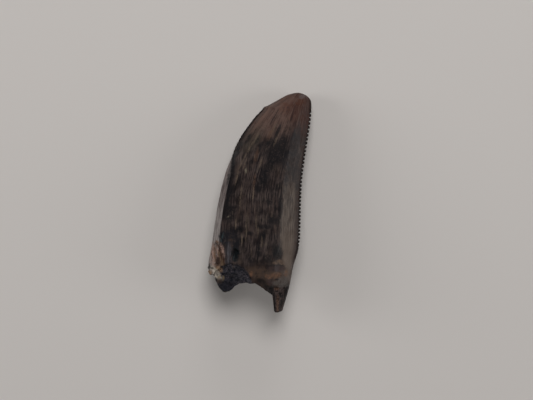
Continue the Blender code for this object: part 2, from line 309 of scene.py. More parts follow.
def upper_heights(v, half_thickness, facet):
    """Heights of the upper side over the middle plane, as shares of half the thickness."""
    power = np.where(v > 0, REAR_POWER, FRONT_POWER)
    dome = np.sqrt(np.maximum(1 - np.abs(v) ** power, 0))
    start = math.sqrt(1 - FACET_START ** REAR_POWER)
    return faceted(dome, v, start, half_thickness, FACET_HOLLOW, facet)


def lower_heights(v, half_thickness, facet):
    """Depths of the hidden side under the middle plane. Two swellings run along it."""
    dome = np.sqrt(np.maximum(1 - np.abs(v) ** UNDER_POWER, 0))
    dome *= UNDER_BULGE * (1 - UNDER_HOLLOW * np.exp(-((v / UNDER_HOLLOW_WIDTH) ** 2)))
    start = UNDER_BULGE * math.sqrt(1 - FACET_START ** UNDER_POWER)
    return faceted(dome, v, start, half_thickness, 0.0, facet)


def noise_at(x, y, z):
    return noise.noise(Vector((x, y, z)))


def noise_on(x, y, pattern):
    """Noise at many places of the upper side at once."""
    across, along, layer = pattern
    return np.array([noise_at(px * across, py * along, layer) for px, py in zip(x, y)])


def chip_drops(x, y):
    """How far the broken front corner of the base is worn down, with a ragged border."""
    across = (x - CHIP_CENTRE[0]) / CHIP_RADII[0]
    along = (y - CHIP_CENTRE[1]) / CHIP_RADII[1]
    inside = 1 - np.hypot(across, along) + CHIP_RAGGED * noise_on(x, y, CHIP_RAGGED_NOISE)
    drop = CHIP_STEP * smooth(0.0, CHIP_STEP_WIDTH, inside) + CHIP_DEPTH * np.maximum(inside, 0)
    rough = CHIP_ROUGHNESS * noise_on(x, y, CHIP_ROUGH_NOISE)
    rough += CHIP_GRAIN * noise_on(x, y, CHIP_GRAIN_NOISE)
    return drop + rough * smooth(0.0, CHIP_ROUGH_BORDER, inside)


# Spall scar on the front shoulder: x, y, half width, half length, lean to the right in degrees.
SPALL = (-5.62, -7.45, 0.80, 1.95, -10)
SPALL_DEPTH = 0.26
SPALL_UNEVEN = 0.4
SPALL_GRAIN = 0.05
SPALL_BORDER = 0.16
SPALL_RAGGED = 0.16
PIT = (-3.28, -7.15, 0.52, 0.98, 4)
PIT_DEPTH = 0.48
PIT_BORDER = 0.40
PIT_RAGGED = 0.22
PIT_GRAIN = 0.10
DENT = (-5.05, -5.00, 0.55, 0.95, -10)
DENT_DEPTH = 0.14
DENT_BORDER = 0.6
DENT_RAGGED = 0.15
SHALLOW = (-4.15, -7.30, 0.45, 1.40, 0)
SHALLOW_DEPTH = 0.06
SHALLOW_BORDER = 0.8
SCAR_RAGGED_NOISE = (2.1, 2.1, 12.0)
SCAR_GRAIN_NOISE = (6.0, 3.5, 15.0)
# Grooves of the scar, and ribs where the depth is negative: both ends, half width, depth.
GROOVES = (
    (-5.5, -6.1, -5.2, -7.0, 0.1, 0.16), (-5.2, -7.0, -4.98, -7.9, 0.1, 0.16),
    (-5.28, -6.0, -4.98, -6.9, 0.12, -0.12), (-4.98, -6.9, -4.8, -8.3, 0.12, -0.1),
    (-5.85, -6.6, -5.6, -8.2, 0.16, -0.12), (-6.08, -6.8, -6.05, -8.8, 0.1, 0.1),
    (-5.72, -7.8, -5.6, -8.6, 0.2, 0.2), (-5.3, -9.0, -5.05, -10.2, 0.12, 0.14),
    (-6.4, -9.05, -5.6, -9.9, 0.13, 0.12), (-5.05, -10.1, -4.95, -10.8, 0.1, -0.16),
)
# Small lumps: centre, radius, height.
LUMPS = (
    (-6.92, -8.56, 4.9, 0.2, 0.2), (-7.02, -8.98, 4.5, 0.21, 0.24),
    (-6.92, -9.62, 4.5, 0.26, 0.2), (-6.3, -9.1, 5.6, 0.16, 0.12),
    (-5.85, -10.6, 5.4, 0.24, 0.1), (-5.4, -9.8, 6.3, 0.26, 0.08),
    (-4.6, -9.3, 6.6, 0.3, 0.14), (-3.3, -9.6, 6.9, 0.26, 0.12),
    (-2.6, -10.3, 6.9, 0.3, 0.14),
)
# The root starts a little below the enamel's skin.
ROOT_TOP_Y = -11.55
ROOT_BORDER = 0.12
ROOT_RAGGED = 0.35
ROOT_RAGGED_CELLS = (1.7, 0.4)
ROOT_RECESS = 0.13
ROOT_X = (0.9, 1.7)
ROOT_EDGE_START = 0.80
ROOT_EDGE_END = 0.97
# Relief of the enamel: cells round the tooth, cells to the millimetre along it, and depth. The
# swells have the radius of the circle that they are read on instead.
FLUTES = (64, 0.13, 0.022)
FINE_LINES = (240, 0.5, 0.008)
SWELLS = (1.4, 0.45, 0.035)
RELIEF_TIP_FADE = 1.5


def oval(x, y, shape):
    """1 in the middle of a leaning oval and 0 on its border."""
    turn = math.radians(shape[4])
    across = (x - shape[0]) * math.cos(turn) - (y - shape[1]) * math.sin(turn)
    along = (x - shape[0]) * math.sin(turn) + (y - shape[1]) * math.cos(turn)
    return 1 - np.hypot(across / shape[2], along / shape[3])


def beside_line(x, y, groove):
    """1 on a line from one end to the other, falling off beside it."""
    x0, y0, x1, y1, half_width, _ = groove
    length = math.hypot(x1 - x0, y1 - y0)
    along = ((x - x0) * (x1 - x0) + (y - y0) * (y1 - y0)) / length
    nearest = np.clip(along, 0, length)
    away = np.hypot(x - x0 - nearest * (x1 - x0) / length, y - y0 - nearest * (y1 - y0) / length)
    return np.exp(-((away / half_width) ** 2))


def upper_damage(x, y, z):
    """Depth of scars, pits and lumps of the upper side, along the surface's normal."""
    ragged = noise_on(x, y, SCAR_RAGGED_NOISE)
    grain = noise_on(x, y, SCAR_GRAIN_NOISE)
    spall = smooth(0.0, SPALL_BORDER, oval(x, y, SPALL) + SPALL_RAGGED * ragged)
    depth = spall * (SPALL_DEPTH * (1 + SPALL_UNEVEN * ragged) + SPALL_GRAIN * grain)
    pit = smooth(0.0, PIT_BORDER, oval(x, y, PIT) + PIT_RAGGED * ragged + PIT_GRAIN * grain)
    depth += PIT_DEPTH * pit
    depth += DENT_DEPTH * smooth(0.0, DENT_BORDER, oval(x, y, DENT) + DENT_RAGGED * ragged)
    depth += SHALLOW_DEPTH * smooth(0.0, SHALLOW_BORDER, oval(x, y, SHALLOW))
    for groove in GROOVES:
        depth += groove[5] * beside_line(x, y, groove)
    for lump_x, lump_y, lump_z, radius, height in LUMPS:
        away = np.sqrt((x - lump_x) ** 2 + (y - lump_y) ** 2 + (z - lump_z) ** 2) / radius
        depth -= height * np.exp(-away * away)
    return depth


def root_recess(x, y):
    """How far the root lies behind the enamel, from the enamel's ragged lower end down."""
    across, along = ROOT_RAGGED_CELLS
    ragged = np.array([noise_at(px * across, 3.0, py * along) for px, py in zip(x, y)])
    below = smooth(ROOT_TOP_Y, ROOT_TOP_Y - ROOT_BORDER, y + ROOT_RAGGED * ragged)
    return ROOT_RECESS * below * smooth(ROOT_X[0], ROOT_X[1], x)


def add_ripples(raised, angles, radius, layer, depth):
    """Adds noise read on a circle, so that it meets itself round the tooth."""
    for index, turn in enumerate(np.radians(angles)):
        raised[index] += depth * noise_at(radius * math.cos(turn), radius * math.sin(turn), layer)


def relief(angles, distance):
    """Lengthwise flutes and lines of the enamel, and slow swells across it."""
    raised = np.zeros(len(angles))
    for cells, along, depth in (FLUTES, FINE_LINES):
        add_ripples(raised, angles, cells / (2 * math.pi), distance * along, depth)
    radius, along, depth = SWELLS
    add_ripples(raised, angles, radius, distance * along, depth)
    return raised


def front_inset(y, ridge):
    """How far the front edge lies behind its sections, with room for the carina on it."""
    shoulder = SHOULDER_TRIM * smooth(SHOULDER_LOW_Y, SHOULDER_LOW_Y + SHOULDER_FADE, y)
    step = STEP_BACK * smooth(STEP_Y, STEP_Y + STEP_SOFTNESS, y)
    inset = ridge * smooth(RIDGE_LOW_Y, RIDGE_HIGH_Y, y)
    inset += smooth(STEP_Y, SHOULDER_HIGH_Y, y) * (FRONT_TRIM + shoulder)
    return inset + step * smooth(STEP_END_Y, STEP_END_Y - STEP_FADE, y)


def crown_line(distance, slot, angles):
    """Points of one crosswise line of the whole tooth, before anything is broken off."""
    row = np.interp(distance, REAR_DISTANCE, TABLE_ROWS)
    front_x, front_y, rear_x, rear_y, thickness, middle = section_at(row)
    front = np.array((front_x, front_y))
    chord = np.array((rear_x, rear_y)) - front
    reach = float(np.linalg.norm(chord))
    direction = chord / reach
    ridge = RIDGE_HEIGHT * smooth(RIDGE_TOP_Y, RIDGE_TOP_Y - RIDGE_TOP_FADE, front_y)
    ridge *= smooth(RIDGE_BASE_Y, RIDGE_BASE_Y + RIDGE_BASE_FADE, front_y)
    inset = front_inset(front_y, ridge)
    front = front + direction * inset
    reach -= inset
    half_thickness = max(0.5 * thickness, 1e-4)
    angles = followed_angles(angles, front_y)
    keel = KEEL_HEIGHT * smooth(KEEL_END_Y, KEEL_END_Y + KEEL_FADE, rear_y)
    keel *= smooth(TOTAL_LENGTH, TOTAL_LENGTH - KEEL_TIP_FADE, distance)
    half = 0.5 * (reach - keel)
    v = np.cos(np.radians(angles))
    facet = smooth(FACET_LOW_Y, FACET_LOW_Y + FACET_FADE, rear_y)
    facet *= smooth(FACET_HIGH_Y + FACET_FADE, FACET_HIGH_Y, rear_y)
    upper = half_thickness * upper_heights(v, half_thickness, facet)
    lower = -half_thickness * lower_heights(v, half_thickness, facet)
    is_upper = angles <= 180
    heights = np.where(is_upper, upper, lower)
    along_chord = half * (1 + v)
    keel_share = np.where(v > KEEL_START, 1 - smooth(KEEL_CORE, KEEL_FOOT, np.abs(heights)), 0.0)
    along_chord += (keel - DENTICLE_DEPTH * slot) * keel_share
    outward_x = v / half
    outward_z = heights / half_thickness ** 2
    length = np.hypot(outward_x, outward_z)
    outward_x = outward_x / length
    outward_z = outward_z / length
    near_ridge = 1 - np.minimum(np.abs(angles - ridge_angle(front_y)) / RIDGE_HALF_WIDTH, 1.0)
    saw = RIDGE_SAW_DEPTH * slot * smooth(RIDGE_SAW_Y - 1, RIDGE_SAW_Y, front_y)
    raised = ridge * near_ridge * (1 - saw)
    near_keel = smooth(1 - 2 * GROOVE_REACH, 1 - GROOVE_REACH, v)
    raised -= GROOVE_DEPTH * slot * near_keel * (1 - keel_share)
    fade = smooth(0.0, RELIEF_TIP_FADE, TOTAL_LENGTH - distance)
    raised += fade * relief(angles, distance) * (1 - keel_share)
    x = front[0] + direction[0] * along_chord
    y = front[1] + direction[1] * along_chord
    if rear_y < DAMAGE_TOP_Y:
        raised -= np.where(is_upper, upper_damage(x, y, middle + heights), 0.0)
        raised -= root_recess(x, y) * (1 - smooth(ROOT_EDGE_START, ROOT_EDGE_END, v))
    x = x + direction[0] * raised * outward_x
    y = y + direction[1] * raised * outward_x
    heights = heights + raised * outward_z
    if rear_y < CHIP_TOP_Y:
        heights = heights - np.where(angles < 180, chip_drops(x, y), 0.0)
    return np.column_stack((x, y, np.maximum(middle + heights, 0.0)))


def grid_places(obj, sides, rings):
    """Ring and side of every vertex of a new ball, with ring 0 at its top pole."""
    points = np.empty(len(obj.data.vertices) * 3)
    obj.data.vertices.foreach_get("co", points)
    points = points.reshape(-1, 3)
    points /= np.linalg.norm(points, axis=1)[:, None]
    ring = np.rint(np.arccos(np.clip(points[:, 2], -1, 1)) * rings / np.pi).astype(int)
    side = np.rint(np.arctan2(points[:, 1], points[:, 0]) * sides / (2 * np.pi)).astype(int) % sides
    return ring, side


def select_only(obj):
    bpy.ops.object.select_all(action="DESELECT")
    obj.select_set(True)
    bpy.context.view_layer.objects.active = obj


def new_ball(name, sides, rings):
    bpy.ops.object.select_all(action="DESELECT")
    bpy.ops.mesh.primitive_uv_sphere_add(segments=sides, ring_count=rings, radius=1.0)
    ball = bpy.context.object
    ball.name = name
    return ball


def move_points(obj, points):
    """Places the vertices, given in millimetres."""
    obj.data.vertices.foreach_set("co", (np.asarray(points) * MM).ravel())
    obj.data.update()


def normals_outward(obj):
    select_only(obj)
    bpy.ops.object.mode_set(mode="EDIT")
    bpy.ops.mesh.select_all(action="SELECT")
    bpy.ops.mesh.normals_make_consistent(inside=False)
    bpy.ops.object.mode_set(mode="OBJECT")


def map_growth(obj, ring, side, distances, angles):
    """UV map that follows the growth: the turn round the tooth, and the share of its length."""
    sides = len(angles)
    turns = np.concatenate((angles, angles + 360)) / 360
    loops = np.empty(len(obj.data.loops), dtype=int)
    obj.data.loops.foreach_get("vertex_index", loops)
    values = np.zeros((len(loops), 2))
    last_ring = ring.max()
    for face in obj.data.polygons:
        span = slice(face.loop_start, face.loop_start + face.loop_total)
        corners = loops[span]
        columns = side[corners].copy()
        pole = (ring[corners] == 0) | (ring[corners] == last_ring)
        known = columns[~pole]
        if known.max() - known.min() > sides / 2:
            columns[columns < sides / 2] += sides
        columns[pole] = columns[~pole].max()
        values[span, 0] = turns[columns]
        values[span, 1] = distances[ring[corners]] / TOTAL_LENGTH
    obj.data.uv_layers.active.data.foreach_set("uv", values.ravel())


def make_crown():
    angles = lengthwise_angles()
    lines = crosswise_lines()
    rings = len(lines)
    crown = new_ball("fossil_tooth", len(angles), rings)
    ring, side = grid_places(crown, len(angles), rings)
    start = SECTIONS[0]
    end = SECTIONS[-1]
    table = np.empty((rings + 1, len(angles), 3))
    table[0] = (0.5 * (start[0] + start[2]), start[1], start[5])
    table[rings] = (end[0], end[1], end[5])
    for index in range(1, rings):
        distance, slot = lines[index]
        table[index] = crown_line(distance, slot, angles)
    move_points(crown, table[ring, side])
    distances = np.array([line[0] for line in lines] + [TOTAL_LENGTH])
    map_growth(crown, ring, side, distances, angles)
    normals_outward(crown)
    return crown


def break_depths(x, z):
    """Y of the broken surface at x across the tooth and z through it."""
    front_wall = np.interp(x, BREAK_LINE[:, 0], BREAK_LINE[:, 1])
    hidden_wall = np.interp(x, BACK_LINE[:, 0], BACK_LINE[:, 1])
    at_spur = smooth(SPUR_START_X, SPUR_START_X + SPUR_START_WIDTH, x)
    split = mix(WALL_SPLIT, SPUR_UNDERSIDE, at_spur)
    ragged_split = split + SPLIT_RAGGED * noise_at(x * SPLIT_CELLS, 2.0, z * SPLIT_CELLS)
    share = smooth(ragged_split - SPLIT_SOFTNESS, ragged_split + SPLIT_SOFTNESS, z)
    rough = sum(depth * noise_at(x * grain, 7.0, z * grain) for grain, depth in BREAK_GRAINS)
    return mix(hidden_wall, front_wall, share) + rough


def make_base_break():
    """Everything below the rough broken surface."""
    bpy.ops.object.select_all(action="DESELECT")
    bpy.ops.mesh.primitive_grid_add(
        x_subdivisions=BREAK_COLUMNS, y_subdivisions=BREAK_LAYERS, size=2.0
    )
    cutter = bpy.context.object
    cutter.name = "base_break"
    points = []
    for vertex in cutter.data.vertices:
        x = mix(BREAK_X[0], BREAK_X[1], 0.5 * (vertex.co.x + 1))
        z = mix(BREAK_Z[0], BREAK_Z[1], 0.5 * (vertex.co.y + 1))
        y = float(break_depths(x, z))
        shift = BREAK_SIDE_SHIFT * noise_at(x, y * BREAK_SIDE_CELLS, z * BREAK_SIDE_CELLS)
        points.append((x + shift, y, z))
    move_points(cutter, points)
    sheet_points = len(points)
    bpy.ops.object.mode_set(mode="EDIT")
    bpy.ops.mesh.select_all(action="SELECT")
    bpy.ops.mesh.extrude_region()
    bpy.ops.object.mode_set(mode="OBJECT")
    for vertex in cutter.data.vertices[sheet_points:]:
        vertex.co.y = BELOW_EVERYTHING * MM
    normals_outward(cutter)
    return cutter


def make_pulp_cavity():
    cutter = new_ball("pulp_cavity", CAVITY_SIDES, CAVITY_RINGS)
    ring, side = grid_places(cutter, CAVITY_SIDES, CAVITY_RINGS)
    points = []
    for row, column in zip(ring, side):
        y = mix(CAVITY_TOP_Y, CAVITY_END_Y, row / CAVITY_RINGS)
        open_share = (CAVITY_TOP_Y - y) / (CAVITY_TOP_Y - CAVITY_MOUTH_Y)
        radius = 0.0 if row in (0, CAVITY_RINGS) else min(open_share, CAVITY_WIDEST) ** CAVITY_TAPER
        angle = 2 * math.pi * column / CAVITY_SIDES
        across = math.cos(angle)
        up = math.sin(angle)
        ripple = 1 + CAVITY_RIPPLE * noise_at(across, CAVITY_RIPPLE_ALONG * y, up)
        around = CAVITY_GRAIN_AROUND
        ripple += CAVITY_GRAIN * noise_at(around * across, CAVITY_GRAIN_ALONG * y, around * up)
        middle = CAVITY_HEIGHT_AT_MOUTH + CAVITY_TILT * (CAVITY_MOUTH_Y - y)
        x = CAVITY_CENTRE_X + CAVITY_HALF_WIDTH * radius * ripple * across
        z = middle + CAVITY_HALF_HEIGHT * radius * ripple * up
        points.append((x, y, z))
    move_points(cutter, points)
    normals_outward(cutter)
    return cutter


def cut_away(target, cutter):
    """Takes the cutter off the target, whose new faces keep the cutter's material."""
    difference = target.modifiers.new("cut", "BOOLEAN")
    difference.operation = "DIFFERENCE"
    difference.solver = "EXACT"
    difference.object = cutter
    select_only(target)
    bpy.ops.object.modifier_apply(modifier=difference.name)
    bpy.data.objects.remove(cutter, do_unlink=True)


def srgb(red, green, blue):
    """A colour as a screen shows it, 0 to 255, as the linear light that a shader takes."""
    values = []
    for part in (red, green, blue):
        share = part / 255
        values.append(share / 12.92 if share <= 0.04045 else ((share + 0.055) / 1.055) ** 2.4)
    return (*values, 1.0)


# Finish. Below STRAIGHT_BELOW_Y the enamel's lines run straight up, although the front edge leans.
GLOSS_LEVEL = 0.28
AGE_SHADE = 0.16
ENAMEL_BUMP = 0.04
DENTINE_BUMP = 0.12
STRAIGHT_BELOW_Y = 1.0
STRAIGHTENING = 0.014

# Colours, each pair from dark to light.
ENAMEL_TINTS = (srgb(28, 22, 23), srgb(76, 65, 62))
ENAMEL_BROWN = srgb(62, 48, 42)
ENAMEL_BLACK = srgb(19, 17, 19)
FLECK_TINT = srgb(108, 97, 80)
DARK_LINE_TINT = srgb(14, 12, 13)
TIP_TINTS = (srgb(40, 26, 23), srgb(99, 76, 67))
TIP_RED = srgb(78, 47, 38)
FACET_TINTS = (srgb(44, 36, 34), srgb(90, 77, 71))
# Painted sheen of the bevel: lighter tints that stand in for light caught from the right.
FACET_PAINTED_SHEEN_TINTS = (srgb(68, 58, 53), srgb(114, 102, 93))
# Beige with painted sheen for the lowest part of the bevel.
FACET_BEIGE_SHEEN = srgb(112, 97, 86)
FACET_BROWN = srgb(62, 48, 43)
FACET_BLACK = srgb(38, 32, 33)
# Painted reflection: pale strip in front of the carina, brighter on its lower part.
STRIP_LOW_REFLECTION_TINTS = (srgb(84, 76, 74), srgb(150, 142, 139))
STRIP_HIGH_REFLECTION_TINTS = (srgb(70, 61, 59), srgb(130, 118, 115))
CARINA_TINT = srgb(17, 15, 18)
SAW_TINT = srgb(30, 22, 21)
SLOT_TINT = srgb(12, 10, 11)
# Painted shade along the front outline near the tip.
FRONT_RIM_SHADE_TINT = srgb(14, 8, 9)
CHIP_TINTS = (srgb(20, 23, 30), srgb(72, 69, 74))
CHIP_PINK = srgb(98, 78, 86)
CHIP_BLACK = srgb(18, 17, 20)
ROOT_TINTS = (srgb(18, 14, 15), srgb(84, 71, 68))
DENTINE_TINTS = (srgb(30, 26, 27), srgb(80, 63, 53))
DENTINE_LAYER_TINT = srgb(102, 80, 62)
DENTINE_TAN = srgb(120, 98, 74)
ENAMEL_RIM_TINT = srgb(20, 18, 21)
CAVITY_TINT = srgb(24, 19, 19)
BLACK = srgb(0, 0, 0)
FLOOR_TINT = srgb(206, 201, 197)


class Wire:
    """A shader value that takes part in arithmetic."""

    def __init__(self, finish, socket):
        self.finish = finish
        self.socket = socket

    def math(self, operation, *others):
        inputs = dict(enumerate((self, *others)))
        return self.finish.node("ShaderNodeMath", {"operation": operation}, inputs)

    def __add__(self, other):
        return self.math("ADD", other)

    __radd__ = __add__

    def __mul__(self, other):
        return self.math("MULTIPLY", other)

    __rmul__ = __mul__

    def __sub__(self, other):
        return self.math("SUBTRACT", other)

    def __rsub__(self, other):
        return self.finish.node("ShaderNodeMath", {"operation": "SUBTRACT"}, {0: other, 1: self})

    def lowest(self, other):
        return self.math("MINIMUM", other)

    def highest(self, other):
        return self.math("MAXIMUM", other)

    def rise(self, low, high):
        """0 at low and 1 at high, soft at both ends."""
        settings = {"interpolation_type": "SMOOTHSTEP", "clamp": True}
        inputs = {"Value": self, "From Min": low, "From Max": high}
        return self.finish.node("ShaderNodeMapRange", settings, inputs)


class Finish:
    """A material whose nodes come from one method."""

    def __init__(self, name):
        self.material = bpy.data.materials.new(name)
        self.material.use_nodes = True
        self.tree = self.material.node_tree
        self.shader = self.tree.nodes["Principled BSDF"]
        metres = self.node("ShaderNodeTexCoord", output="Object")
        self.place = self.vector_math("SCALE", {0: metres, "Scale": 1 / MM})
        growth = self.node("ShaderNodeTexCoord", output="UV")
        self.turn, self.share = self.parts(growth, "XY")
        self.x, self.y, self.z = self.parts(self.place, "XYZ")
        around = self.turn * (2 * math.pi)
        lean = around.math("SINE") * (1 - around.math("COSINE")) * self.y.lowest(STRAIGHT_BELOW_Y)
        self.grown = around - lean * STRAIGHTENING

    def feed(self, socket, value):
        if isinstance(value, Wire):
            self.tree.links.new(value.socket, socket)
        else:
            socket.default_value = value

    def node(self, kind, settings=None, inputs=None, output=0):
        made = self.tree.nodes.new(kind)
        for name, value in (settings or {}).items():
            setattr(made, name, value)
        for key, value in (inputs or {}).items():
            self.feed(made.inputs[key], value)
        return Wire(self, made.outputs[output])

    def parts(self, vector, axes):
        return (self.node("ShaderNodeSeparateXYZ", None, {0: vector}, axis) for axis in axes)

    def vector_math(self, operation, inputs, output=0):
        return self.node("ShaderNodeVectorMath", {"operation": operation}, inputs, output)

    def noise(self, vector, scale, detail, roughness=0.5):
        values = {"Vector": vector, "Scale": scale, "Detail": detail, "Roughness": roughness}
        return self.node("ShaderNodeTexNoise", {"normalize": True}, values)

    def growth_noise(self, cells_around, cells_along, detail, roughness):
        return self.noise(self.drum(cells_around, cells_along), 1.0, detail, roughness)

    def blend(self, first, second, share):
        """Colour that goes from the first to the second as share goes from 0 to 1."""
        inputs = {0: share, 6: first, 7: second}
        return self.node("ShaderNodeMix", {"data_type": "RGBA"}, inputs, output=2)

    def drum(self, cells_around, cells_along):
        """Point on a drum round the tooth, so that a pattern follows the growth with no seam."""
        radius = cells_around / (2 * math.pi)
        inputs = {
            "X": self.grown.math("COSINE") * radius,
            "Y": self.grown.math("SINE") * radius,
            "Z": self.share * (TOTAL_LENGTH * cells_along),
        }
        return self.node("ShaderNodeCombineXYZ", inputs=inputs)

    def warped_place(self, cell, shift):
        """Place on the object, pushed about a little so that borders come out ragged."""
        values = {"Vector": self.place, "Scale": 1 / cell, "Detail": 5.0, "Roughness": 0.65}
        push = self.node("ShaderNodeTexNoise", {}, values, "Color")
        centred = self.vector_math("SUBTRACT", {0: push, 1: (0.5, 0.5, 0.5)})
        scaled = self.vector_math("SCALE", {0: centred, "Scale": 2 * shift})
        return self.vector_math("ADD", {0: self.place, 1: scaled})

    def dot(self, first, second):
        return self.vector_math("DOT_PRODUCT", {0: first, 1: second}, "Value")

    def marks(self, vector, ovals, border):
        """1 inside any of the ovals, fading to 0 over the border. An oval is x, y, half width,
        half length and, unless it is upright, its lean to the right."""
        nearest = None
        for x, y, half_width, half_length, *lean in ovals:
            turn = math.radians(lean[0] if lean else 0)
            across = (math.cos(turn) / half_width, -math.sin(turn) / half_width, 0.0)
            along = (math.sin(turn) / half_length, math.cos(turn) / half_length, 0.0)
            sideways = self.dot(vector, across) - (x * across[0] + y * across[1])
            lengthwise = self.dot(vector, along) - (x * along[0] + y * along[1])
            away = sideways * sideways + lengthwise * lengthwise
            nearest = away if nearest is None else nearest.lowest(away)
        return nearest.rise((1 + border) ** 2, (1 - border) ** 2)

    def finish(self, colour, roughness, height, bump_depth):
        """Feeds the shader. Height runs from 0 to 1 over bump_depth millimetres."""
        self.shader.inputs["Specular IOR Level"].default_value = GLOSS_LEVEL
        self.feed(self.shader.inputs["Base Color"], colour)
        self.feed(self.shader.inputs["Roughness"], roughness)
        inputs = {"Height": height, "Distance": bump_depth * MM, "Strength": 1.0}
        self.feed(self.shader.inputs["Normal"], self.node("ShaderNodeBump", {}, inputs, "Normal"))
        return self.material
